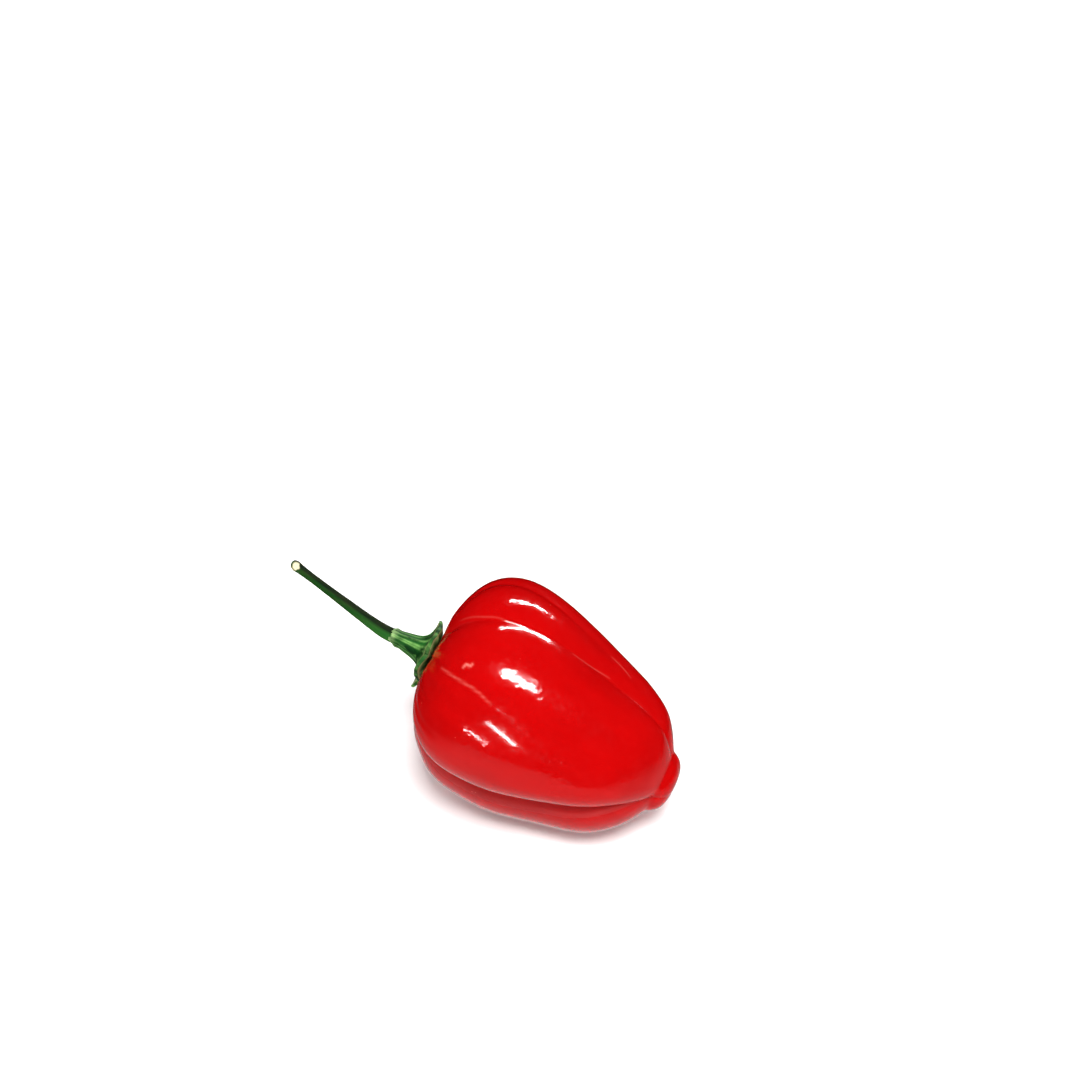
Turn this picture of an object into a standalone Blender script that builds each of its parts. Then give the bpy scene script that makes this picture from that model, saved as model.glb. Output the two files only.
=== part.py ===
"""One red lobed chilli pepper at its real size, lying on its side: a pod, its calyx and its stem.

The pieces are drawn on a straight axis, which runs along +X from the calyx to the tip of the
pod. Angles go round that axis in degrees: 0 is the top, 90 the near side (-Y), 180 the underside
and 270 the far side. An empty then holds them nose down, and the two lobes that the pod lies on
are pressed slightly flat, as where a ripe fruit rests on a table.
"""
import math

import bmesh
import bpy
import numpy as np
from mathutils import Matrix

MM = 0.001

# Pod: a blunt barrel, widest near its stem end, that tapers to a small nub at the tip
POD_LENGTH = 45.4 * MM
POD_RADIUS = 19.0 * MM
SHOULDER_END = 0.31  # share of the length by which the rounded stem end has reached full width
SHOULDER_ROUNDNESS = 2.85
TAPER = 0.72
TAPER_START = 0.38
TAPER_BLEND = 0.13
TIP_START = 0.69
BODY_END = 0.945
TIP_ROUNDNESS = 2.5
NUB_RADIUS = 5.8 * MM
NUB_START = 0.87
NUB_ROUNDNESS = 3.0
NUB_BLEND = 4.0  # higher parts the nub from the body more sharply
DIMPLE_DEPTH = 0.8 * MM
DIMPLE_RADIUS = 8.0 * MM
NOSE_DRIFT = (0.0, 0.0, 1.0 * MM, 1.8 * MM, 1.8 * MM)  # how far the middle wanders, stem end to tip
NOSE_DRIFT_ANGLE = 137.0
STEM_END_SHARE = 0.25  # the share of the pod's length that holds its rounded stem end

# Creases between the lobes. Angle and depth are given at even steps from the stem end to the tip,
# and depth is a share of the pod's radius there. A flank is how far the slope of the lobe on each
# side reaches, in degrees, before and after the crease.
CREASES = {
    "top": dict(angle=(3, -6, -13, -22), depth=(0.12, 0.10, 0.09, 0.10, 0.12, 0.03), flanks=(46, 44), edge=1.6),
    "side": dict(angle=(105, 107, 94, 64), depth=(0.21, 0.26, 0.30, 0.32, 0.26, 0.04), flanks=(25, 50), edge=2.0),
    "under": dict(angle=(192, 190, 188, 186), depth=(0.14, 0.12, 0.14, 0.08), flanks=(40, 42), edge=1.7),
    "back": dict(angle=(277, 276, 272, 270), depth=(0.14, 0.17, 0.18, 0.08), flanks=(40, 44), edge=1.8),
}
# Short folds that start at the calyx and die out on a lobe
FOLDS = (
    dict(angle=(41, 46, 57, 66), depth=(0.05, 0.018, 0.0, 0.0), flanks=(16, 20), edge=1.5),
    dict(angle=(322, 326, 330, 333), depth=(0.06, 0.05, 0.012, 0.0), flanks=(24, 22), edge=1.5),
    dict(angle=(152, 154, 150, 150), depth=(0.05, 0.02, 0.0, 0.0), flanks=(20, 20), edge=1.5),
    dict(angle=(236, 234, 232, 230), depth=(0.06, 0.04, 0.0, 0.0), flanks=(22, 22), edge=1.5),
)
CREASE_SOFTNESS = 1.6  # degrees over which the bottom of a crease is rounded
# Places where a lobe swells out: angle, share of the length, height, and how far it spreads both ways
SWELLS = (
    (143, 0.42, 1.1 * MM, 34, 0.2),
    (320, 0.86, 0.3 * MM, 30, 0.05),
    (138, 0.08, -1.2 * MM, 36, 0.1),
    (218, 0.40, 2.8 * MM, 30, 0.26),
)

# Calyx: a ribbed green funnel that opens into a thin, toothed brim on the pod
CALYX_GAP = 0.3 * MM
CALYX_BRIM_RADIUS = 4.9 * MM
CALYX_BRIM_THICKNESS = 1.0 * MM
CALYX_HEIGHT = 7.8 * MM
CALYX_NECK_RADIUS = 1.15 * MM
CALYX_CONE_SPREAD = 1.2 * MM
CALYX_FLARE_LENGTH = 0.62 * MM
CALYX_BRIM_CURL = 0.2 * MM
CALYX_CURL_ROUNDNESS = 5  # higher keeps the curl nearer the brim's edge
CALYX_RISE_ROUNDNESS = 1.6  # higher gathers more of the outline's points near the brim
CALYX_EDGE = 0.19 * MM  # how far the rounded edge of the brim stands out
CALYX_TEETH = ((8, 1.0), (66, 0.7), (131, 1.15), (187, 0.8), (246, 1.0), (304, 0.75))  # angle, size
TOOTH_LENGTH = 0.9 * MM
TOOTH_WIDTH = 17.0  # degrees
CALYX_RIB_DEPTH = 0.07
CALYX_COLLAR = 0.22 * MM
CALYX_COLLAR_HEIGHT = 6.9 * MM
CALYX_COLLAR_WIDTH = 0.45 * MM

# Stem: a slim, faintly ribbed stalk that leaves the neck of the calyx with a slight bend
STEM_GAP = 0.3 * MM
STEM_LENGTH = 19.6 * MM
STEM_RADII = (1.18 * MM, 1.0 * MM, 0.88 * MM, 0.78 * MM, 0.74 * MM, 0.88 * MM)  # neck to cut end
STEM_BEND = 11.0
STEM_BEND_ANGLE = 322.0
STEM_BEND_SUDDENNESS = 12  # higher puts more of the bend near the calyx
STEM_RIBS = 5
STEM_RIB_DEPTH = 0.05

# Colours, and how rough each surface is
POD_COLOUR = (0.66, 0.002, 0.003)
POD_ROUGHNESS = 0.16
CALYX_COLOUR = (0.03, 0.2, 0.03)
CALYX_ROUGHNESS = 0.45
STEM_COLOUR = (0.008, 0.07, 0.012)
STEM_ROUGHNESS = 0.4

# How the fruit lies
NOSE_DOWN = 16.0
FOOT_DEPTH = 0.3 * MM

# Fineness of the surfaces
OUTLINE_STEPS = 4000
STEM_END_STEPS = 400
POD_RINGS = 44
COLUMNS_PER_LOBE = 18
CALYX_COLUMNS = 48
CALYX_UNDER_RINGS = 5
CALYX_TOP_RINGS = 13
STEM_COLUMNS = 15
STEM_RINGS = 18


def clear_scene():
    """Empties the scene that Blender starts with."""
    for thing in list(bpy.data.objects):
        bpy.data.objects.remove(thing, do_unlink=True)


def along(values, share):
    """A smooth curve through evenly spaced values, read at a share of the way from 0 to 1."""
    values = np.array(values, float)
    spans = len(values) - 1
    place = np.clip(share, 0, 1) * spans
    first = np.minimum(place.astype(int), spans - 1)
    part = place - first
    ends = np.concatenate([[2 * values[0] - values[1]], values, [2 * values[-1] - values[-2]]])
    before, start, end, after = (ends[first + step] for step in range(4))
    return 0.5 * (
        2 * start
        + (end - before) * part
        + (2 * before - 5 * start + 4 * end - after) * part**2
        + (3 * start - before - 3 * end + after) * part**3
    )


def rounded_end(share, start, end, roundness):
    """1 up to start, then a rounded fall to 0 at end."""
    fall = np.clip((share - start) / (end - start), 0, 1)
    return (1 - fall**roundness) ** (1 / roundness)


def pod_outline(rings):
    """The pod's outline before its creases, at even steps: x, radius and outward direction."""
    share = (1 - np.cos(np.linspace(0, math.pi, OUTLINE_STEPS))) / 2
    shoulder = rounded_end(-share, -SHOULDER_END, 0, SHOULDER_ROUNDNESS)
    past = share - TAPER_START
    taper = 1 - TAPER * (past + np.hypot(past, TAPER_BLEND)) / 2
    body = POD_RADIUS * shoulder * taper * rounded_end(share, TIP_START, BODY_END, TIP_ROUNDNESS)
    nub = NUB_RADIUS * shoulder * rounded_end(share, NUB_START, 1, NUB_ROUNDNESS)
    radius = (body**NUB_BLEND + nub**NUB_BLEND) ** (1 / NUB_BLEND)
    dimple = DIMPLE_DEPTH * np.clip(1 - (radius / DIMPLE_RADIUS) ** 2, 0, 1) ** 2
    x = POD_LENGTH * share + np.where(share < STEM_END_SHARE, dimple, 0)
    walked = np.concatenate([[0], np.cumsum(np.hypot(np.diff(x), np.diff(radius)))])
    places = np.linspace(0, walked[-1], rings)
    x = np.interp(places, walked, x)
    radius = np.interp(places, walked, radius)
    lengthwise, sideways = np.gradient(x), np.gradient(radius)
    size = np.hypot(lengthwise, sideways)
    return x, radius, -sideways / size, lengthwise / size


def crease_depth(angle, share, crease):
    """How deep one crease is at an angle, as a share of the radius."""
    offset = (angle - along(crease["angle"], share) + 180) % 360 - 180
    before, after = crease["flanks"]
    reach = np.where(offset < 0, before, after)
    slope = np.clip(1 - np.hypot(offset, CREASE_SOFTNESS) / reach, 0, 1)
    well = 1 - (1 - slope ** crease["edge"]) ** (1 / crease["edge"])
    return along(crease["depth"], share) * well


def swelling(angle, share):
    """How far the lobes swell out beyond the even outline."""
    height = 0
    for middle, place, size, spread, length in SWELLS:
        offset = (angle - middle + 180) % 360 - 180
        height += size * np.exp(-((offset / spread) ** 2) - ((share - place) / length) ** 2)
    return height


def pod_surface(outline, angle):
    """Points of the pod's skin, as x, and y and z off its straight axis. Rings run down, angles across."""
    x, radius, out_x, out_radius = (value[:, None] for value in outline)
    share = x / POD_LENGTH
    depth = sum(crease_depth(angle, share, crease) for crease in (*CREASES.values(), *FOLDS))
    depth = np.maximum(depth, 0) * radius - swelling(angle, share)
    reach = radius - out_radius * depth
    drift = along(NOSE_DRIFT, share)
    sideways = math.radians(NOSE_DRIFT_ANGLE)
    turned = np.radians(angle)
    points = [
        x - out_x * depth,
        -np.sin(turned) * reach - math.sin(sideways) * drift,
        np.cos(turned) * reach + math.cos(sideways) * drift,
    ]
    return np.stack(np.broadcast_arrays(*points), axis=-1)


def lobe_angles(share):
    """Angles round each ring, closer together near the creases, whose bottoms they follow."""
    steps = np.linspace(0, 1, COLUMNS_PER_LOBE, endpoint=False)
    steps = (steps + (1 - np.cos(math.pi * steps)) / 2) / 2
    starts = [along(crease["angle"], share) for crease in CREASES.values()]
    ends = starts[1:] + [starts[0] + 360]
    return np.concatenate(
        [start[:, None] + (end - start)[:, None] * steps for start, end in zip(starts, ends)], axis=1
    )


def pod_rings():
    """The pod's skin as rings of points, and the middle points that close its two ends."""
    outline = pod_outline(POD_RINGS)
    points = pod_surface(outline, lobe_angles(outline[0] / POD_LENGTH))
    return points[1:-1], points[0, 0], points[-1, 0]


def pod_end(radius, angle):
    """The x of the pod's skin around its stem end, at a distance and angle from the axis."""
    outline = pod_outline(STEM_END_STEPS)
    end = outline[0] < POD_LENGTH * STEM_END_SHARE
    skin = pod_surface([value[end] for value in outline], np.array([angle]))[:, 0]
    return np.interp(radius, np.hypot(skin[:, 1], skin[:, 2]), skin[:, 0])


def calyx_brim(angle):
    """The brim's radius at an angle, and how much of a tooth is there."""
    tooth = 0
    for middle, size in CALYX_TEETH:
        offset = (angle - middle + 180) % 360 - 180
        tooth += size * math.exp(-((offset / TOOTH_WIDTH) ** 2))
    return CALYX_BRIM_RADIUS + TOOTH_LENGTH * tooth, tooth


def calyx_side(angle):
    """One side of the calyx at an angle, from under its middle, round the brim and up to the neck."""
    brim, tooth = calyx_brim(angle)
    rib = CALYX_RIB_DEPTH * (2 * tooth - 1)
    curl = CALYX_BRIM_CURL * (0.5 + tooth)
    under = brim * np.linspace(0, 1, CALYX_UNDER_RINGS + 1)[1:]
    rise = np.linspace(0, 1, CALYX_TOP_RINGS) ** CALYX_RISE_ROUNDNESS
    height = CALYX_BRIM_THICKNESS + (CALYX_HEIGHT - CALYX_BRIM_THICKNESS) * rise
    cone = CALYX_NECK_RADIUS + CALYX_CONE_SPREAD * (1 - rise)
    flare = np.exp((CALYX_BRIM_THICKNESS - height) / CALYX_FLARE_LENGTH)
    collar = CALYX_COLLAR * np.exp(-(((height - CALYX_COLLAR_HEIGHT) / CALYX_COLLAR_WIDTH) ** 2))
    over = cone * (1 + rib * (1 - rise)) + (brim - cone[0] * (1 + rib)) * flare + collar
    radius = np.concatenate([under, [brim + CALYX_EDGE], over])
    height = np.concatenate([0 * under, [CALYX_BRIM_THICKNESS / 2], height])
    lift = curl * (np.minimum(radius, brim) / brim) ** CALYX_CURL_ROUNDNESS
    return pod_end(radius, angle) - CALYX_GAP - height - lift, radius


def calyx_rings():
    """The calyx as rings of points, and the middle points that close its underside and its neck."""
    angles = np.linspace(0, 360, CALYX_COLUMNS, endpoint=False)
    sides = [calyx_side(angle) for angle in angles]
    turned = np.radians(angles)
    x = np.array([side[0] for side in sides]).T
    radius = np.array([side[1] for side in sides]).T
    neck = np.mean(x[-1])
    x[-1] = neck
    rings = np.stack([x, -np.sin(turned) * radius, np.cos(turned) * radius], axis=-1)
    return rings, np.array([pod_end(0, 0) - CALYX_GAP, 0, 0]), np.array([neck, 0, 0])


def stem_rings():
    """The stem as rings of points from its own base, and the middle points of its base and cut end."""
    share = np.linspace(0, 1, STEM_RINGS)
    heading = np.radians(STEM_BEND) * (1 - (1 - share) ** STEM_BEND_SUDDENNESS)
    step = STEM_LENGTH / (STEM_RINGS - 1)
    back = np.concatenate([[0], np.cumsum(np.cos(heading[:-1]) * step)])
    aside = np.concatenate([[0], np.cumsum(np.sin(heading[:-1]) * step)])
    side = math.radians(STEM_BEND_ANGLE)
    bend = np.array([0, -math.sin(side), math.cos(side)])
    middle = np.outer(-back, [1, 0, 0]) + np.outer(aside, bend)
    across = np.outer(np.sin(heading), [1, 0, 0]) + np.outer(np.cos(heading), bend)
    level = np.cross([1, 0, 0], bend)
    turned = np.linspace(0, 2 * math.pi, STEM_COLUMNS, endpoint=False)
    radius = along(STEM_RADII, share)[:, None] * (1 + STEM_RIB_DEPTH * np.cos(STEM_RIBS * turned))
    rings = (
        middle[:, None]
        + (radius * np.cos(turned))[:, :, None] * across[:, None]
        + (radius * np.sin(turned))[:, :, None] * level
    )
    return rings, middle[0], middle[-1]


def press_feet(points, up, floor):
    """Raises the points that lie below the floor onto it. Up is the floor's normal."""
    return points + np.maximum(floor - points @ up, 0)[..., None] * up


def skin(name, rings, first, last):
    """A closed mesh object over rings of points, with a fan of faces at each end."""
    count = rings.shape[1]
    mesh = bpy.data.meshes.new(name)
    work = bmesh.new()
    rows = [[work.verts.new(point) for point in ring] for ring in rings]
    for start, end in zip(rows, rows[1:]):
        for column in range(count):
            after = (column + 1) % count
            work.faces.new((start[column], start[after], end[after], end[column]))
    for middle, row in ((first, rows[0]), (last, rows[-1])):
        tip = work.verts.new(middle)
        for column in range(count):
            work.faces.new((tip, row[column], row[(column + 1) % count]))
    bmesh.ops.triangulate(work, faces=work.faces[:])
    bmesh.ops.recalc_face_normals(work, faces=work.faces[:])
    work.to_mesh(mesh)
    work.free()
    mesh.shade_smooth()
    piece = bpy.data.objects.new(name, mesh)
    bpy.context.scene.collection.objects.link(piece)
    return piece


def finish(name, colour, roughness):
    """A plain material with the piece's colour and shine."""
    material = bpy.data.materials.new(name)
    material.use_nodes = True
    surface = material.node_tree.nodes["Principled BSDF"]
    surface.inputs["Base Color"].default_value = (*colour, 1)
    surface.inputs["Roughness"].default_value = roughness
    surface.inputs["Metallic"].default_value = 0
    return material


def build():
    """Makes the three pieces, lays them nose down and centres them over the origin."""
    calyx = calyx_rings()
    base = np.array([calyx[2][0] - STEM_GAP, 0, 0])
    tilt = math.radians(NOSE_DOWN)
    turn = np.array(Matrix.Rotation(tilt, 3, "Y"))
    up = turn[2]
    pod = pod_rings()
    floor = (pod[0] @ up).min() + FOOT_DEPTH
    pod = [press_feet(points, up, floor) for points in pod]

    laid = np.concatenate(
        [points.reshape(-1, 3) @ turn.T for points in (*pod, *calyx, *(base + ring for ring in stem_rings()))]
    )
    low, high = laid.min(axis=0), laid.max(axis=0)
    fruit = bpy.data.objects.new("fruit", None)
    bpy.context.scene.collection.objects.link(fruit)
    fruit.rotation_euler = (0, tilt, 0)
    fruit.location = (-(low[0] + high[0]) / 2, -(low[1] + high[1]) / 2, -floor)

    pieces = (
        ("pod", pod, (0, 0, 0), finish("glossy red skin", POD_COLOUR, POD_ROUGHNESS)),
        ("calyx", calyx, (0, 0, 0), finish("green calyx", CALYX_COLOUR, CALYX_ROUGHNESS)),
        ("stem", stem_rings(), base, finish("dark green stalk", STEM_COLOUR, STEM_ROUGHNESS)),
    )
    for name, shape, place, material in pieces:
        piece = skin(name, *shape)
        piece.data.materials.append(material)
        piece.parent = fruit
        piece.location = place


clear_scene()
build()
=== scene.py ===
import math
import random

import bmesh
import bpy
import numpy as np
from mathutils import Matrix, Quaternion, Vector, noise


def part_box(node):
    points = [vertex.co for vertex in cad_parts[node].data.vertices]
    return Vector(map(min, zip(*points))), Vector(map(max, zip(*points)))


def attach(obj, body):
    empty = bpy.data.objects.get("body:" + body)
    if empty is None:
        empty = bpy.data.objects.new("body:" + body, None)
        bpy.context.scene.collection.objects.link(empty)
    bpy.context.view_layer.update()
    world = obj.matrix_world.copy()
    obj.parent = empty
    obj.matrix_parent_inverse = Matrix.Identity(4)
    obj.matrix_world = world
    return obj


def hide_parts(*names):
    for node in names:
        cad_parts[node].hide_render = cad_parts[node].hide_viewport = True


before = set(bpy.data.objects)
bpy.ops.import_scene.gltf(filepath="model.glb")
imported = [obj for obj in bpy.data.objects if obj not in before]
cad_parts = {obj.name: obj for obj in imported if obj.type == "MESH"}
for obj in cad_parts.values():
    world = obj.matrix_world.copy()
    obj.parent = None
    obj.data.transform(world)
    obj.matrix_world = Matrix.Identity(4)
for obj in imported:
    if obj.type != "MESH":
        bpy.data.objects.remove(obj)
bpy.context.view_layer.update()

# Pod
# The pod is one fleshy fruit under a thin, waxy red skin. It grew as four lobes round a hollow, so
# deep creases part the lobes from the stem end down to a small nub at the tip, and short folds and
# fine wrinkles gather round the calyx. It lies nose down on its two lower lobes, slightly flattened.
MM = 0.001
POD_LENGTH = 45.4 * MM
POD_RADIUS = 19.0 * MM
SHOULDER_END = 0.31
SHOULDER_ROUNDNESS = 2.85
TAPER = 0.72
TAPER_START = 0.38
TAPER_BLEND = 0.13
TIP_START = 0.69
BODY_END = 0.945
TIP_ROUNDNESS = 2.5
NUB_RADIUS = 5.8 * MM
NUB_START = 0.87
NUB_ROUNDNESS = 3.0
NUB_BLEND = 4.0
DIMPLE_DEPTH = 0.8 * MM
DIMPLE_RADIUS = 8.0 * MM
NOSE_DRIFT = (0.0, 0.0, 1.0 * MM, 1.8 * MM, 1.8 * MM)
NOSE_DRIFT_ANGLE = 137.0
STEM_END_SHARE = 0.25
# Each crease runs through its angles, and is cut to its depths, at even steps from the stem end to
# the tip. Depths are shares of the radius. Its flanks reach that many degrees to either side.
CREASES = {
    "top": dict(
        angle=(3, -6, -13, -22), depth=(0.12, 0.10, 0.09, 0.10, 0.12, 0.03), flanks=(46, 44), edge=1.6
    ),
    "side": dict(
        angle=(105, 107, 94, 64), depth=(0.21, 0.26, 0.30, 0.32, 0.26, 0.04), flanks=(25, 50), edge=2.0
    ),
    "under": dict(
        angle=(192, 190, 188, 186), depth=(0.14, 0.12, 0.14, 0.08), flanks=(40, 42), edge=1.7
    ),
    "back": dict(
        angle=(277, 276, 272, 270), depth=(0.14, 0.17, 0.18, 0.08), flanks=(40, 44), edge=1.8
    ),
}
FOLDS = (
    dict(angle=(41, 46, 57, 66), depth=(0.05, 0.018, 0.0, 0.0), flanks=(16, 20), edge=1.5),
    dict(angle=(322, 326, 330, 333), depth=(0.06, 0.05, 0.012, 0.0), flanks=(24, 22), edge=1.5),
    dict(angle=(152, 154, 150, 150), depth=(0.05, 0.02, 0.0, 0.0), flanks=(20, 20), edge=1.5),
    dict(angle=(236, 234, 232, 230), depth=(0.06, 0.04, 0.0, 0.0), flanks=(22, 22), edge=1.5),
)
CREASE_SOFTNESS = 1.6
DEEPEST_CREASE = 0.32
SWELLS = (
    # angle, share of the length, height, and how far it spreads round in degrees and lengthwise
    (143, 0.42, 1.1 * MM, 34, 0.2),
    (320, 0.86, 0.3 * MM, 30, 0.05),
    (138, 0.08, -1.2 * MM, 36, 0.1),
    (218, 0.40, 2.8 * MM, 30, 0.26),
)
OUTLINE_STEPS = 6000
POD_RINGS = 330
COLUMNS_PER_LOBE = 120
NOSE_DOWN = 16.0

WRINKLES = 64
WRINKLE_SEED = 11
WRINKLE_SCATTER = 0.4  # how far each strays from its even place, as a share of their spacing
WRINKLE_STRENGTHS = (0.3, 1)
WRINKLE_DEPTH = 0.10 * MM
WRINKLE_WIDTHS = (0.9, 2.2)  # narrowest and widest, in degrees
WRINKLE_LENGTHS = (0.03, 0.13)  # shortest and longest, as shares of the length
WRINKLE_START = 0.012  # share of the length that the calyx's brim covers
DENTS = ((0.13 * MM, 9.0 * MM), (0.035 * MM, 3.4 * MM), (0.012 * MM, 1.3 * MM))  # depth, size across
SCAR_RADIUS = 1.1 * MM
SCAR_DEPTH = 0.14 * MM
SCRATCH_AND_HIGHLIGHT_LINES = (
    # angles along it, shares of the length along it, strength: first a small curled scratch, then
    # painted highlights, the pale lines where the edges of its creases and folds catch the light
    ((33.9, 31.7, 31.7, 30.0), (0.127, 0.134, 0.147, 0.154), 1.0),
    ((356.5, 358, 357.5, 358.5), (0.03, 0.09, 0.15, 0.23), 0.12),
    ((40.0, 40.7, 41.3, 44.0), (0.05, 0.12, 0.20, 0.28), 0.35),
    ((328.4, 328.4, 330.1), (0.59, 0.637, 0.684), 0.2),
    ((352.0, 350.0, 346.0), (0.46, 0.54, 0.62), 0.15),
)
PALE_LINE_WIDTH = 0.18 * MM
PALE_LINE_STEPS = 50
PALE_LINE_BLUNTNESS = 0.25  # the smaller, the more suddenly a line ends


def along(values, share):
    """A smooth curve through evenly spaced values, read at a share of the way from 0 to 1."""
    values = np.array(values, float)
    spans = len(values) - 1
    place = np.clip(share, 0, 1) * spans
    first = np.minimum(place.astype(int), spans - 1)
    part = place - first
    ends = np.concatenate([[2 * values[0] - values[1]], values, [2 * values[-1] - values[-2]]])
    before, start, end, after = (ends[first + step] for step in range(4))
    return 0.5 * (
        2 * start
        + (end - before) * part
        + (2 * before - 5 * start + 4 * end - after) * part**2
        + (3 * start - before - 3 * end + after) * part**3
    )


def rounded_end(share, start, end, roundness):
    """1 up to start, then a rounded fall to 0 at end."""
    fall = np.clip((share - start) / (end - start), 0, 1)
    return (1 - fall**roundness) ** (1 / roundness)


def pod_outline(rings):
    """The pod's outline before its creases, at even steps: x, radius and outward direction."""
    share = (1 - np.cos(np.linspace(0, math.pi, OUTLINE_STEPS))) / 2
    shoulder = rounded_end(-share, -SHOULDER_END, 0, SHOULDER_ROUNDNESS)
    past = share - TAPER_START
    taper = 1 - TAPER * (past + np.hypot(past, TAPER_BLEND)) / 2
    body = POD_RADIUS * shoulder * taper * rounded_end(share, TIP_START, BODY_END, TIP_ROUNDNESS)
    nub = NUB_RADIUS * shoulder * rounded_end(share, NUB_START, 1, NUB_ROUNDNESS)
    radius = (body**NUB_BLEND + nub**NUB_BLEND) ** (1 / NUB_BLEND)
    dimple = DIMPLE_DEPTH * np.clip(1 - (radius / DIMPLE_RADIUS) ** 2, 0, 1) ** 2
    x = POD_LENGTH * share + np.where(share < STEM_END_SHARE, dimple, 0)
    walked = np.concatenate([[0], np.cumsum(np.hypot(np.diff(x), np.diff(radius)))])
    places = np.linspace(0, walked[-1], rings)
    x = np.interp(places, walked, x)
    radius = np.interp(places, walked, radius)
    lengthwise, sideways = np.gradient(x), np.gradient(radius)
    size = np.hypot(lengthwise, sideways)
    return x, radius, -sideways / size, lengthwise / size


def degrees_past(angle, middle):
    """How far round an angle lies from a middle, from -180 to 180 degrees."""
    return (angle - middle + 180) % 360 - 180


def crease_well(angle, share, crease):
    """How far down one crease an angle lies, from 0 on the lobe to 1 at its bottom."""
    offset = degrees_past(angle, along(crease["angle"], share))
    before, after = crease["flanks"]
    reach = np.where(offset < 0, before, after)
    slope = np.clip(1 - np.hypot(offset, CREASE_SOFTNESS) / reach, 0, 1)
    return 1 - (1 - slope ** crease["edge"]) ** (1 / crease["edge"])


def swelling(angle, share):
    """How far the lobes swell out beyond the even outline."""
    height = 0
    for middle, place, size, spread, length in SWELLS:
        offset = degrees_past(angle, middle)
        height += size * np.exp(-((offset / spread) ** 2) - ((share - place) / length) ** 2)
    return height


def wrinkling(angle, share):
    """How deep the fine wrinkles that fan out from the calyx are."""
    draw = random.Random(WRINKLE_SEED)
    depth = 0
    for number in range(WRINKLES):
        middle = 360 * (number + draw.uniform(-WRINKLE_SCATTER, WRINKLE_SCATTER)) / WRINKLES
        width = draw.uniform(*WRINKLE_WIDTHS)
        length = draw.uniform(*WRINKLE_LENGTHS)
        deepest = WRINKLE_DEPTH * draw.uniform(*WRINKLE_STRENGTHS)
        offset = degrees_past(angle, middle)
        fall = np.exp(-((np.maximum(share - WRINKLE_START, 0) / length) ** 2))
        depth += deepest * fall * np.exp(-((offset / width) ** 2))
    return depth


def pod_surface(outline, angle, relief):
    """Points of the pod's skin off its straight axis, one row to a ring. Relief is cut in as well."""
    x, radius, out_x, out_radius = (value[:, None] for value in outline)
    share = x / POD_LENGTH
    painted_crease_shade = sum(
        crease_well(angle, share, crease) * along(crease["depth"], share)
        for crease in (*CREASES.values(), *FOLDS)
    )
    depth = np.maximum(painted_crease_shade, 0) * radius - swelling(angle, share) + relief
    reach = radius - out_radius * depth
    drift = along(NOSE_DRIFT, share)
    sideways = math.radians(NOSE_DRIFT_ANGLE)
    turned = np.radians(angle)
    points = [
        x - out_x * depth,
        -np.sin(turned) * reach - math.sin(sideways) * drift,
        np.cos(turned) * reach + math.cos(sideways) * drift,
    ]
    return np.stack(np.broadcast_arrays(*points), axis=-1)


def lobe_angles(share):
    """Angles round each ring, closer together near the creases, whose bottoms they follow."""
    steps = np.linspace(0, 1, COLUMNS_PER_LOBE, endpoint=False)
    steps = (steps + (1 - np.cos(math.pi * steps)) / 2) / 2
    starts = [along(crease["angle"], share) for crease in CREASES.values()]
    ends = starts[1:] + [starts[0] + 360]
    return np.concatenate(
        [start[:, None] + (end - start)[:, None] * steps for start, end in zip(starts, ends)], axis=1
    )


def skin(name, rings, first, last, marks):
    """A smooth closed piece over rings of points. Its finish reads the marks set at those points."""
    count = rings.shape[1]
    work = bmesh.new()
    rows = [[work.verts.new(point) for point in ring] for ring in rings]
    for start, end in zip(rows, rows[1:]):
        for column in range(count):
            after = (column + 1) % count
            work.faces.new((start[column], start[after], end[after], end[column]))
    for middle, row in ((first, rows[0]), (last, rows[-1])):
        tip = work.verts.new(middle)
        for column in range(count):
            work.faces.new((tip, row[column], row[(column + 1) % count]))
    bmesh.ops.recalc_face_normals(work, faces=work.faces[:])
    mesh = bpy.data.meshes.new(name)
    work.to_mesh(mesh)
    work.free()
    mesh.shade_smooth()
    for mark, values in marks.items():
        ends = [values[0].mean(), values[-1].mean()]
        layer = mesh.attributes.new(mark, "FLOAT", "POINT")
        layer.data.foreach_set("value", np.concatenate([values.ravel(), ends]).astype(np.float32))
    piece = bpy.data.objects.new(name, mesh)
    bpy.context.scene.collection.objects.link(piece)
    return piece


def dented(points):
    """How deep the skin's uneven dents are at some points, always inward."""
    depth = np.zeros(len(points))
    for deepest, size in DENTS:
        rise = [noise.noise(Vector(point) / size) for point in points]
        depth += deepest * (0.5 + 0.5 * np.clip(rise, -1, 1))
    return depth


def scratch_and_highlight_paleness(angle, share, radius):
    """How pale the skin is along its real scratch and its painted highlight lines by the folds, from 0 to
    1.
    """
    mark = 0
    for angles, places, strength in SCRATCH_AND_HIGHLIGHT_LINES:
        for step in np.linspace(0, 1, PALE_LINE_STEPS):
            across = np.radians(degrees_past(angle, along(angles, step))) * radius
            down = (share - along(places, step)) * POD_LENGTH
            taper = (4 * step * (1 - step)) ** PALE_LINE_BLUNTNESS
            here = strength * taper * np.exp(-(across**2 + down**2) / PALE_LINE_WIDTH**2)
            mark = np.maximum(mark, here)
    return mark


outline = pod_outline(POD_RINGS)
pod_share = outline[0][:, None] / POD_LENGTH
pod_angle = lobe_angles(outline[0] / POD_LENGTH)
even_pod = pod_surface(outline, pod_angle, 0)
dents = dented(even_pod.reshape(-1, 3).tolist()).reshape(pod_angle.shape)
scar = np.exp(-((outline[1][:, None] / SCAR_RADIUS) ** 4)) * (pod_share > 0.5) + 0 * pod_angle
pod_points = pod_surface(outline, pod_angle, dents + wrinkling(pod_angle, pod_share) + SCAR_DEPTH * scar)

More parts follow.
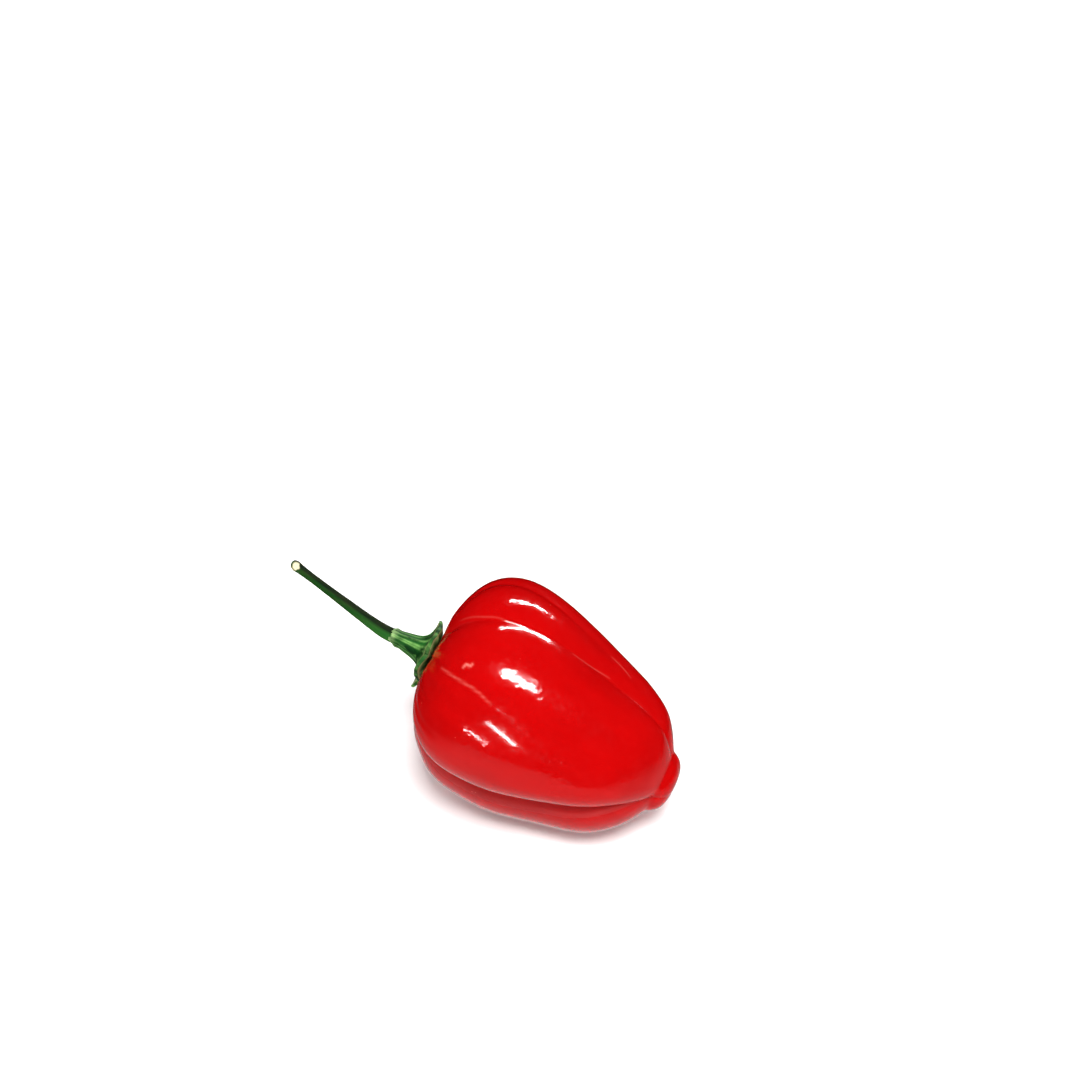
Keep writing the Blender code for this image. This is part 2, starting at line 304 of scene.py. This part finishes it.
# The fruit lies at the same slant and place as its solid.
lie = np.array(Matrix.Rotation(math.radians(NOSE_DOWN), 3, "Y"))
cad_low, cad_high = (np.array(corner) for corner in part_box("pod"))
laid = even_pod.reshape(-1, 3) @ lie.T
place = (cad_low + cad_high - laid.min(axis=0) - laid.max(axis=0)) / 2
place[2] = cad_high[2] - laid[:, 2].max()


def lay(points):
    """Points off the pod's straight axis, laid where the fruit lies and no lower than the table."""
    points = points @ lie.T + place
    points[..., 2] = np.maximum(points[..., 2], 0)
    return points


crease_mark = np.maximum.reduce(
    [
        crease_well(pod_angle, pod_share, crease) * along(crease["depth"], pod_share) / DEEPEST_CREASE
        for crease in CREASES.values()
    ]
)
# Paleness of the real scratch and of the painted highlight lines along the folds' edges.
scratch_and_highlight_mark = scratch_and_highlight_paleness(pod_angle, pod_share, outline[1][:, None])
pod_laid = lay(pod_points)
pod_marks = {"crease": crease_mark[1:-1], "scar": scar[1:-1], "line": scratch_and_highlight_mark[1:-1]}
pod = skin("pod_flesh", pod_laid[1:-1], pod_laid[0, 0], pod_laid[-1, 0], pod_marks)


class Finish:
    """One piece's material, and short ways to add nodes to it."""

    def __init__(self, name):
        self.material = bpy.data.materials.new(name)
        self.material.use_nodes = True
        self.tree = self.material.node_tree
        self.shader = self.tree.nodes["Principled BSDF"]

    def feed(self, socket, value):
        """Links a socket to another one, or sets it to a plain value."""
        if isinstance(value, bpy.types.NodeSocket):
            self.tree.links.new(value, socket)
        else:
            socket.default_value = value

    def surface(self, **looks):
        """Feeds the shader's inputs, whose names have _ here for each space."""
        for look, value in looks.items():
            self.feed(self.shader.inputs[look.replace("_", " ")], value)

    def node(self, kind, inputs, **settings):
        """A new node. Its inputs go by name, or by number where names repeat."""
        made = self.tree.nodes.new(kind)
        for setting, value in settings.items():
            setattr(made, setting, value)
        for key, value in inputs.items():
            self.feed(made.inputs[key], value)
        return made

    def places(self):
        """Places on the piece, with x along the pod's own axis."""
        where = self.node("ShaderNodeTexCoord", {}).outputs["Object"]
        level = (0, -math.radians(NOSE_DOWN), 0)
        return self.node("ShaderNodeMapping", {"Vector": where, "Rotation": level}).outputs[0]

    def drawn_out(self, places, share):
        """Places shortened along x to a share, which draws a pattern out that way."""
        return self.node("ShaderNodeMapping", {"Vector": places, "Scale": (share, 1, 1)}).outputs[0]

    def patches(self, places, scale, detail, roughness=0.5):
        """Soft uneven patches of 0 to 1, smaller with a larger scale."""
        inputs = {"Vector": places, "Scale": scale, "Detail": detail, "Roughness": roughness}
        return self.node("ShaderNodeTexNoise", inputs).outputs[0]

    def mark(self, name):
        """One of the marks set on the piece's mesh."""
        return self.node("ShaderNodeAttribute", {}, attribute_name=name).outputs["Fac"]

    def ramp(self, value, reach, turned):
        """The value's reach turned into another one, and held at both ends."""
        inputs = {"Value": value, 1: reach[0], 2: reach[1], 3: turned[0], 4: turned[1]}
        return self.node("ShaderNodeMapRange", inputs).outputs[0]

    def combine(self, operation, *values, use_clamp=False):
        """Values put together by one of the maths node's operations."""
        inputs = dict(enumerate(values))
        return self.node("ShaderNodeMath", inputs, operation=operation, use_clamp=use_clamp).outputs[0]

    def blend(self, share, first, second):
        """A colour that goes from the first to the second as the share goes from 0 to 1."""
        return self.node("ShaderNodeMix", {0: share, 6: first, 7: second}, data_type="RGBA").outputs[2]

    def bumps(self, height, strength, distance):
        """A fine relief, too slight for the mesh."""
        inputs = {"Height": height, "Strength": strength, "Distance": distance}
        return self.node("ShaderNodeBump", inputs).outputs[0]


RED = (0.36, 0.0009, 0.0011, 1)
# Deep red for the skin's real darker streaks and for the painted shade in its creases.
STREAK_AND_CREASE_SHADE_RED = (0.23, 0.0004, 0.0006, 1)
PALE_FLECK = (0.75, 0.12, 0.09, 1)
SCAR_TAN = (0.42, 0.22, 0.09, 1)
# Pale pink for the real scratch and for the painted highlight lines along the folds.
SCRATCH_AND_HIGHLIGHT_PINK = (0.65, 0.15, 0.12, 1)
STREAK_SCALE = 260.0
STREAK_SHORTENING = 0.18
STREAK_PATCH_SCALE = 70.0
STREAK_DARKNESS = 0.35
# How strongly painted shade darkens the bottoms of the creases.
CREASE_PAINTED_SHADE = 0.85
FLECK_SCALE = 420.0
FLECK_RARITY = 0.62
GLOSS_SCALE = 900.0
SKIN_ROUGHNESS = (0.07, 0.13)
DULLNESS = 0.8  # how much rougher the skin is in its creases and on its scar
DIMPLE_SCALE = 1300.0
DIMPLED_AREA_SCALE = 180.0


def pod_finish():
    """Waxy red skin, darker in streaks, duller and with painted shade in the creases, with pale flecks, a
    scratch and painted highlight lines.
    """
    finish = Finish("pod skin")
    places = finish.places()
    long_places = finish.drawn_out(places, STREAK_SHORTENING)
    streaks = finish.patches(long_places, STREAK_SCALE, detail=4.0, roughness=0.6)
    where_streaked = finish.patches(places, STREAK_PATCH_SCALE, detail=2.0)
    streaks = finish.combine("MULTIPLY", streaks, where_streaked)
    streaked = finish.ramp(streaks, (0.18, 0.42), (0.0, STREAK_DARKNESS))
    crease = finish.mark("crease")
    # Painted shade: the skin's colour is darkened towards the bottoms of its creases, where shade falls.
    painted_crease_shade = finish.ramp(crease, (0.3, 0.9), (0.0, CREASE_PAINTED_SHADE))
    red = finish.blend(finish.combine("ADD", painted_crease_shade, streaked, use_clamp=True), RED, STREAK_AND_CREASE_SHADE_RED)

    flecks = finish.node("ShaderNodeTexVoronoi", {"Vector": places, "Scale": FLECK_SCALE})
    spot = finish.ramp(flecks.outputs["Distance"], (0.02, 0.06), (0.6, 0.0))
    chosen = finish.combine("GREATER_THAN", flecks.outputs["Color"], FLECK_RARITY)
    flecked = finish.blend(finish.combine("MULTIPLY", spot, chosen), red, PALE_FLECK)
    # A real pale scratch, and painted highlights: pale lines along the folds' edges where they catch the
    # light.
    scratched_and_highlit = finish.blend(finish.mark("line"), flecked, SCRATCH_AND_HIGHLIGHT_PINK)
    corky = finish.mark("scar")
    scarred = finish.blend(corky, scratched_and_highlit, SCAR_TAN)

    gloss = finish.patches(places, GLOSS_SCALE, detail=3.0)
    gloss = finish.ramp(gloss, (0.3, 0.7), SKIN_ROUGHNESS)
    dull = finish.combine("MAXIMUM", corky, finish.ramp(crease, (0.28, 0.45), (0.0, 1.0)))
    areas = finish.patches(places, DIMPLED_AREA_SCALE, detail=1.0)
    areas = finish.ramp(areas, (0.42, 0.6), (0.15, 1.0))
    dimples = finish.patches(places, DIMPLE_SCALE, detail=0.5)
    grain = finish.combine("MULTIPLY", dimples, areas)
    finish.surface(
        Base_Color=scarred,
        Roughness=finish.combine("MULTIPLY_ADD", dull, DULLNESS, gloss, use_clamp=True),
        Normal=finish.bumps(grain, strength=0.8, distance=0.06 * MM),
        IOR=1.35,
        Specular_IOR_Level=0.25,
    )
    return finish.material


pod.data.materials.append(pod_finish())
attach(pod, "root")
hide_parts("pod")

# Calyx
# The calyx is the green cap that held the flower: a ribbed funnel, pinched where it leaves the
# stalk, that opens into a thin, almost flat brim pressed on the pod. Its six short teeth have a
# narrow margin that has dried pale, and pale veins run from them up to the neck.
CALYX_GAP = 0.3 * MM
CALYX_BRIM_RADIUS = 4.9 * MM
CALYX_BRIM_THICKNESS = 1.0 * MM
CALYX_HEIGHT = 7.8 * MM
CALYX_NECK_RADIUS = 1.15 * MM
CALYX_CONE_SPREAD = 1.2 * MM
CALYX_FLARE_LENGTH = 0.62 * MM
CALYX_BRIM_CURL = 0.2 * MM
CALYX_CURL_ROUNDNESS = 5
CALYX_RISE_ROUNDNESS = 1.6
CALYX_EDGE = 0.19 * MM
# Angle and size of each tooth.
CALYX_TEETH = ((8, 1.0), (66, 0.7), (131, 1.15), (187, 0.8), (246, 1.0), (304, 0.75))
TOOTH_LENGTH = 0.9 * MM
TOOTH_WIDTH = 17.0  # degrees
CALYX_RIB_DEPTH = 0.07
CALYX_COLLAR = 0.22 * MM
CALYX_COLLAR_HEIGHT = 6.9 * MM
CALYX_COLLAR_WIDTH = 0.45 * MM
CALYX_COLUMNS = 300
CALYX_UNDER_RINGS = 14
CALYX_EDGE_RINGS = 7
CALYX_TOP_RINGS = 110
VEINS = 17
VEIN_SEED = 5
VEIN_SCATTER = 0.25
VEIN_STRENGTHS = (0.55, 1)
VEIN_DEPTH = 0.085 * MM
VEIN_WIDTHS = (3.5, 6.0)  # narrowest and widest, in degrees
BRIM_NOTCH = 0.35 * MM
BRIM_RAGGEDNESS = 4.5
BRIM_THINNING = 0.3 * MM
RIM_WIDTH = 0.12 * MM
RIM_NARROWNESS = 12


def pod_end(radius, angles):
    """The x of the pod's even skin at its stem end, at a distance from the axis for each angle."""
    end = outline[0] < POD_LENGTH * STEM_END_SHARE
    near = pod_surface([value[end] for value in outline], np.atleast_1d(angles), 0)
    reach = np.hypot(near[:, :, 1], near[:, :, 2])
    columns = [
        np.interp(radius[:, at], reach[:, at], near[:, at, 0]) for at in range(near.shape[1])
    ]
    return np.stack(columns, axis=1)


def vein_pattern(angle):
    """Fine veins round the calyx: 1 on a vein and 0 between, for each angle."""
    draw = random.Random(VEIN_SEED)
    pattern = 0
    for number in range(VEINS):
        middle = 360 * (number + draw.uniform(-VEIN_SCATTER, VEIN_SCATTER)) / VEINS
        width = draw.uniform(*VEIN_WIDTHS)
        offset = degrees_past(angle, middle)
        pattern = pattern + draw.uniform(*VEIN_STRENGTHS) * np.exp(-((offset / width) ** 2))
    return np.minimum(pattern, 1)


calyx_angle = np.linspace(0, 360, CALYX_COLUMNS, endpoint=False)
calyx_turn = np.radians(calyx_angle)
tooth = sum(
    size * np.exp(-((degrees_past(calyx_angle, middle) / TOOTH_WIDTH) ** 2))
    for middle, size in CALYX_TEETH
)
veins = vein_pattern(calyx_angle)
ways_out = [Vector((math.cos(turn), math.sin(turn), 0)) for turn in calyx_turn]
ragged = np.array([noise.noise(way * BRIM_RAGGEDNESS) for way in ways_out])
notch = BRIM_NOTCH * np.clip(0.5 + ragged, 0, 1) * (1 - np.minimum(tooth, 1))
brim = CALYX_BRIM_RADIUS + TOOTH_LENGTH * tooth - notch
rib = CALYX_RIB_DEPTH * (2 * tooth - 1)
curl = CALYX_BRIM_CURL * (0.5 + tooth)
under = np.linspace(0, 1, CALYX_UNDER_RINGS + 1)[1:, None]
rise = (np.linspace(0, 1, CALYX_TOP_RINGS) ** CALYX_RISE_ROUNDNESS)[:, None]
around = np.linspace(0, math.pi, CALYX_EDGE_RINGS + 2)[1:-1, None]
top = CALYX_BRIM_THICKNESS + (CALYX_HEIGHT - CALYX_BRIM_THICKNESS) * rise
cone = CALYX_NECK_RADIUS + CALYX_CONE_SPREAD * (1 - rise)
flare = np.exp((CALYX_BRIM_THICKNESS - top) / CALYX_FLARE_LENGTH)
collar = CALYX_COLLAR * np.exp(-(((top - CALYX_COLLAR_HEIGHT) / CALYX_COLLAR_WIDTH) ** 2))
cone_foot = CALYX_NECK_RADIUS + CALYX_CONE_SPREAD
over = cone * (1 + rib * (1 - rise)) + (brim - cone_foot * (1 + rib)) * flare + collar
over = over - VEIN_DEPTH * (1 - veins) * (1 - flare)
thinning = BRIM_THINNING * (0.4 + tooth)
calyx_reach = np.concatenate([brim * under, brim + CALYX_EDGE * np.sin(around), over])
calyx_rise = np.concatenate(
    [
        thinning * under**CALYX_CURL_ROUNDNESS,
        thinning + (CALYX_BRIM_THICKNESS - thinning) * (1 - np.cos(around)) / 2,
        top - VEIN_DEPTH * (1 - veins) * flare + 0 * over,
    ]
)
calyx_lift = curl * (np.minimum(calyx_reach, brim) / brim) ** CALYX_CURL_ROUNDNESS
calyx_x = pod_end(calyx_reach, calyx_angle) - CALYX_GAP - calyx_rise - calyx_lift
neck_x = calyx_x[-1].mean()
calyx_x[-1] = neck_x
calyx_points = np.stack(
    [calyx_x, -np.sin(calyx_turn) * calyx_reach, np.cos(calyx_turn) * calyx_reach], axis=-1
)
calyx_base = np.array([pod_end(np.zeros((1, 1)), 0)[0, 0] - CALYX_GAP, 0, 0])
edge_mark = np.cos(around) ** RIM_NARROWNESS
rim_mark = np.concatenate(
    [under**RIM_NARROWNESS, edge_mark, np.exp(-(top - CALYX_BRIM_THICKNESS) / RIM_WIDTH)]
) + 0 * calyx_x
vein_mark = veins + 0 * calyx_x
neck_mark = np.clip(calyx_rise / CALYX_HEIGHT, 0, 1)
calyx = skin(
    "calyx_cap",
    lay(calyx_points),
    lay(calyx_base),
    lay(np.array([neck_x, 0, 0])),
    {"rim": rim_mark, "vein": vein_mark, "neck": neck_mark},
)

LEAF_GREEN = (0.008, 0.080, 0.010, 1)
DARK_LEAF = (0.002, 0.020, 0.003, 1)
VEIN_GREEN = (0.15, 0.34, 0.08, 1)
DRY_RIM = (0.30, 0.30, 0.13, 1)
NECK_GREEN = (0.36, 0.50, 0.22, 1)
BLOTCH_SCALE = 700.0
BLOTCH_SHORTENING = 0.3
LEAF_GRAIN_SCALE = 3000.0
LEAF_ROUGHNESS = (0.42, 0.6)


def calyx_finish():
    """Leafy green, blotched and veined, with a dry pale margin and a paler fold at the neck."""
    finish = Finish("calyx leaf")
    places = finish.drawn_out(finish.places(), BLOTCH_SHORTENING)
    blotches = finish.patches(places, BLOTCH_SCALE, detail=4.0, roughness=0.6)
    blotch = finish.ramp(blotches, (0.38, 0.62), (0.0, 1.0))
    green = finish.blend(blotch, DARK_LEAF, LEAF_GREEN)
    veined = finish.blend(finish.combine("MULTIPLY", finish.mark("vein"), blotch), green, VEIN_GREEN)
    rimmed = finish.blend(finish.mark("rim"), veined, DRY_RIM)
    fold = finish.ramp(finish.mark("neck"), (0.82, 0.93), (0.0, 0.6))
    folded = finish.blend(finish.combine("MULTIPLY", fold, blotch), rimmed, NECK_GREEN)
    grain = finish.patches(places, LEAF_GRAIN_SCALE, detail=3.0)
    finish.surface(
        Base_Color=folded,
        Roughness=finish.ramp(blotches, (0.3, 0.7), LEAF_ROUGHNESS),
        Normal=finish.bumps(grain, strength=0.5, distance=0.05 * MM),
        Specular_IOR_Level=0.04,
    )
    return finish.material


calyx.data.materials.append(calyx_finish())
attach(calyx, "root")
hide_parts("calyx")

# Stem
# The stem is the fruit's stalk, a slim woody-green shoot with faint ribs, grown in one with the
# calyx. It was snipped off at a slant, so its end shows pale pith inside a dark green rind.
STEM_GAP = 0.3 * MM
STEM_LENGTH = 19.6 * MM
# Radii at even steps from the calyx to the cut.
STEM_RADII = (1.18 * MM, 1.0 * MM, 0.88 * MM, 0.78 * MM, 0.74 * MM, 0.88 * MM)
STEM_BEND = 11.0
STEM_BEND_ANGLE = 322.0
STEM_BEND_SUDDENNESS = 12
STEM_RIBS = 5
STEM_RIB_DEPTH = 0.05
STEM_COLUMNS = 80
STEM_RINGS = 220
STEM_ROOT = 0.5 * MM  # how far its base is sunk into the calyx's neck
KNOB_DEPTH = 0.035 * MM
KNOB_SIZE = 1.1 * MM
CUT_RINGS = 7
CUT_DISH = 0.18 * MM
CUT_SLANT = 1.0  # how far the cut runs back along the stalk, as a share of its width
CUT_SLANT_ANGLE = 80.0
LEANING_RINGS = 21  # rings of the rind that lean over step by step towards the cut
PITH_RISE = (-0.4, 3.0)  # how pale the cut is at its rim and middle, held between 0 and 1

stem_share = np.linspace(0, 1, STEM_RINGS)
heading = np.radians(STEM_BEND) * (1 - (1 - stem_share) ** STEM_BEND_SUDDENNESS)
step = STEM_LENGTH / (STEM_RINGS - 1)
back = np.concatenate([[0], np.cumsum(np.cos(heading[:-1]) * step)])
aside = np.concatenate([[0], np.cumsum(np.sin(heading[:-1]) * step)])
bend_side = math.radians(STEM_BEND_ANGLE)
bend = np.array([0, -math.sin(bend_side), math.cos(bend_side)])
stem_base = np.array([neck_x - STEM_GAP, 0, 0])
middle = stem_base + np.outer(-back, [1, 0, 0]) + np.outer(aside, bend)
middle[0, 0] += STEM_GAP + STEM_ROOT
across = np.outer(np.sin(heading), [1, 0, 0]) + np.outer(np.cos(heading), bend)
level = np.cross([1, 0, 0], bend)
stem_turn = np.linspace(0, 2 * math.pi, STEM_COLUMNS, endpoint=False)
stem_radius = along(STEM_RADII, stem_share)[:, None] * (1 + STEM_RIB_DEPTH * np.cos(STEM_RIBS * stem_turn))


def stalk_ring(at, radius, set_back):
    """Points round one of the stalk's middles, each set back towards the calyx by its own distance."""
    spokes = np.cos(stem_turn)[:, None] * across[at] + np.sin(stem_turn)[:, None] * level
    toward_calyx = np.cross(across[at], level)
    return middle[at] + radius[:, None] * spokes + set_back[:, None] * toward_calyx


stem_rings = [stalk_ring(at, stem_radius[at], 0 * stem_turn) for at in range(STEM_RINGS)]
end_radius = stem_radius[-1]
slant_turn = math.radians(CUT_SLANT_ANGLE)
for number in range(LEANING_RINGS):
    at = STEM_RINGS - 1 - number
    lean = 1 - number / LEANING_RINGS
    slant = CUT_SLANT * end_radius * (1 + np.cos(stem_turn - slant_turn)) * lean
    stem_rings[at] = stalk_ring(at, stem_radius[at], slant)
for number in range(1, CUT_RINGS + 1):
    inward = 1 - number / (CUT_RINGS + 1)
    slant = CUT_SLANT * end_radius * (1 + inward * np.cos(stem_turn - slant_turn))
    dish = CUT_DISH * (1 - inward**2)
    stem_rings.append(stalk_ring(STEM_RINGS - 1, end_radius * inward, slant + dish))
stem_points = np.array(stem_rings)
knobs = [noise.noise(Vector(point) / KNOB_SIZE) for point in stem_points.reshape(-1, 3).tolist()]
stem_middles = np.concatenate([middle, np.repeat(middle[-1:], CUT_RINGS, axis=0)])
toward_middle = stem_middles[:, None] - stem_points
inward_step = KNOB_DEPTH * (0.5 + 0.5 * np.array(knobs).reshape(stem_points.shape[:2]))
stem_points[:STEM_RINGS] += (
    toward_middle / np.linalg.norm(toward_middle, axis=2, keepdims=True) * inward_step[:, :, None]
)[:STEM_RINGS]
pith_mark = np.clip(np.linspace(*PITH_RISE, CUT_RINGS), 0, 1)
cut_mark = np.concatenate([np.zeros(STEM_RINGS), pith_mark])[:, None] + 0 * stem_points[:, :, 0]
stem_end = stem_points[-1].mean(axis=0)
length_mark = np.concatenate([stem_share, np.ones(CUT_RINGS)])[:, None] + 0 * cut_mark
upper_mark = 0.5 + 0.5 * np.tile(np.cos(stem_turn), (STEM_RINGS + CUT_RINGS, 1))
stem = skin(
    "stem_stalk",
    lay(stem_points),
    lay(middle[0]),
    lay(stem_end),
    {"cut": cut_mark, "length": length_mark, "upper": upper_mark},
)

STALK_GREEN = (0.005, 0.036, 0.005, 1)
STALK_FRESH = (0.012, 0.085, 0.012, 1)
STALK_DARK = (0.0015, 0.006, 0.002, 1)
STALK_PALE = (0.20, 0.18, 0.06, 1)
PITH = (0.72, 0.66, 0.42, 1)
FIBRE_SCALE = 1500.0
FIBRE_SHORTENING = 0.12
FIBRE_PALENESS = 0.05
RIND_ROUGHNESS = (0.5, 0.7)


def stem_finish():
    """Dark green rind, fresher by the calyx, darkest on top and pale below, with pith where cut."""
    finish = Finish("stalk rind")
    places = finish.drawn_out(finish.places(), FIBRE_SHORTENING)
    fibres = finish.patches(places, FIBRE_SCALE, detail=4.0)
    fresh = finish.ramp(finish.mark("length"), (0.0, 0.45), (1.0, 0.0))
    rind = finish.blend(fresh, STALK_GREEN, STALK_FRESH)
    upper = finish.mark("upper")
    green = finish.blend(finish.ramp(upper, (0.55, 0.78), (0.0, 0.95)), rind, STALK_DARK)
    fibre = finish.ramp(fibres, (0.35, 0.65), (0.0, 1.0))
    lowest = finish.ramp(upper, (0.03, 0.12), (0.6, 0.0))
    paler = finish.combine("MULTIPLY_ADD", fibre, FIBRE_PALENESS, lowest, use_clamp=True)
    fibrous = finish.blend(paler, green, STALK_PALE)
    finish.surface(
        Base_Color=finish.blend(finish.mark("cut"), fibrous, PITH),
        Roughness=finish.ramp(fibres, (0.3, 0.7), RIND_ROUGHNESS),
        Normal=finish.bumps(fibres, strength=0.5, distance=0.04 * MM),
        Specular_IOR_Level=0.01,
    )
    return finish.material


stem.data.materials.append(stem_finish())
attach(stem, "root")
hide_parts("stem")

# Table
# A plain white, matt table top that the fruit lies on, far wider than the picture. The skin's gloss
# doesn't show it. It shows a glowing card laid in front of the fruit instead, which fades out
# towards its rim and leaves a soft pink sheen along the fruit's lower edges.
TABLE_SIZE = 6.0
TABLE_DROP = 0.02 * MM  # how far it lies below the fruit's flat spots
TABLE_WHITE = (0.93, 0.93, 0.93, 1)
CARD_SIZE = 0.2
CARD_MIDDLE = (30 * MM, -60 * MM)  # x and y
CARD_CLEAR = 40 * MM  # how far from its middle it starts to fade
CARD_EDGE = 95 * MM
CARD_BRIGHTNESS = 1.2


def flat_sheet(name, size, middle, height, finish):
    """A flat square sheet of a finish, with its middle at that place and height."""
    half = size / 2
    corners = [(-half, -half, 0), (half, -half, 0), (half, half, 0), (-half, half, 0)]
    mesh = bpy.data.meshes.new(name)
    mesh.from_pydata(corners, [], [(0, 1, 2, 3)])
    mesh.materials.append(finish.material)
    sheet = bpy.data.objects.new(name, mesh)
    bpy.context.scene.collection.objects.link(sheet)
    sheet.location = (*middle, height)
    return sheet


table_finish = Finish("white table")
table_finish.surface(Base_Color=TABLE_WHITE, Roughness=0.7, Specular_IOR_Level=0)
table = flat_sheet("table", TABLE_SIZE, (0, 0), -TABLE_DROP, table_finish)
table.visible_glossy = False

card_finish = Finish("glowing card")
card_places = card_finish.node("ShaderNodeTexCoord", {}).outputs["Object"]
card_spread = card_finish.node("ShaderNodeVectorMath", {0: card_places}, operation="LENGTH")
card_finish.surface(
    Alpha=card_finish.ramp(card_spread.outputs["Value"], (CARD_CLEAR, CARD_EDGE), (1.0, 0.0)),
    Base_Color=(0, 0, 0, 1),
    Specular_IOR_Level=0,
    Emission_Color=(1, 1, 1, 1),
    Emission_Strength=CARD_BRIGHTNESS,
)
card = flat_sheet("card", CARD_SIZE, CARD_MIDDLE, -TABLE_DROP / 2, card_finish)
card.visible_camera = False
card.visible_diffuse = False
card.visible_shadow = False

# Light
# A soft studio: an even white surround and one softbox light the fruit and the table. Small bright
# lamps, which only the glossy skin shows, leave the crisp highlights on its lobes.
SKY_STRENGTH = 0.84
# Name, azimuth and elevation as seen from the fruit, distance, width, height, tilt, brightness.
SOFTBOX = ("softbox", 36, 70, 0.6, 0.24, 0.24, 0, 27)
LAMPS = (
    ("back lamp", 178, 27, 0.9, 0.07, 0.62, -48, 150),
    ("top lamp", 68, 61, 0.9, 0.14, 0.40, 35, 150),
    ("front lamp", 19, 16, 0.9, 0.05, 0.26, 33, 150),
    ("low lamp", 1, 5, 0.9, 0.04, 0.22, 70, 120),
)
LAMP_AIM = Vector((0, 0, 16 * MM))

world = bpy.data.worlds.new("studio")
bpy.context.scene.world = world
world.use_nodes = True
world.node_tree.nodes["Background"].inputs["Color"].default_value = (1, 1, 1, 1)
world.node_tree.nodes["Background"].inputs["Strength"].default_value = SKY_STRENGTH
world.cycles_visibility.glossy = False


def facing(azimuth, elevation):
    """The way from the fruit towards a place seen at that azimuth and elevation."""
    turn, rise = math.radians(azimuth), math.radians(elevation)
    return Vector((math.sin(turn) * math.cos(rise), -math.cos(turn) * math.cos(rise), math.sin(rise)))


def lamp(name, azimuth, elevation, distance, width, height, tilt, brightness):
    """A flat lamp that faces the fruit, at that brightness all over."""
    light = bpy.data.lights.new(name, "AREA")
    light.shape = "RECTANGLE"
    light.size = width
    light.size_y = height
    light.energy = brightness * math.pi * width * height
    made = bpy.data.objects.new(name, light)
    bpy.context.scene.collection.objects.link(made)
    made.location = LAMP_AIM + distance * facing(azimuth, elevation)
    turn = facing(azimuth, elevation).to_track_quat("Z", "Y") @ Quaternion((0, 0, 1), math.radians(tilt))
    made.rotation_euler = turn.to_euler()
    made.visible_camera = False
    return made


lamp(*SOFTBOX).visible_glossy = False
for settings in LAMPS:
    lamp(*settings).visible_diffuse = False

# Camera
# The photograph's view: high above the near side and a little towards the tip, through a long
# lens. The fruit stands left of and below the middle of the picture, as it does there.
CAMERA_AZIMUTH = 21.4
CAMERA_ELEVATION = 52.1
CAMERA_DISTANCE = 0.55
PIXEL = 0.164 * MM  # width of one of the picture's 1080 pixels at the fruit
PICTURE_PIXELS = 1080
FRUIT_PIXEL = (481.6, 698.5)  # where the picture shows the middle of the fruit
FRUIT_MIDDLE = Vector((0, 0, 16 * MM))
SENSOR = 36.0

shot = bpy.data.cameras.new("camera")
shot.sensor_width = SENSOR
shot.lens = SENSOR * CAMERA_DISTANCE / (PIXEL * PICTURE_PIXELS)
shot.clip_start = 0.01
camera = bpy.data.objects.new("camera", shot)
bpy.context.scene.collection.objects.link(camera)
toward_camera = facing(CAMERA_AZIMUTH, CAMERA_ELEVATION)
right, down = (pixel - PICTURE_PIXELS / 2 for pixel in FRUIT_PIXEL)
sight = Vector((right, -down, -CAMERA_DISTANCE / PIXEL))
turn_aside = sight.rotation_difference(Vector((0, 0, -1)))
camera.location = FRUIT_MIDDLE + CAMERA_DISTANCE * toward_camera
camera.rotation_euler = (toward_camera.to_track_quat("Z", "Y") @ turn_aside).to_euler()
bpy.context.scene.camera = camera
bpy.context.scene.view_settings.view_transform = "Standard"
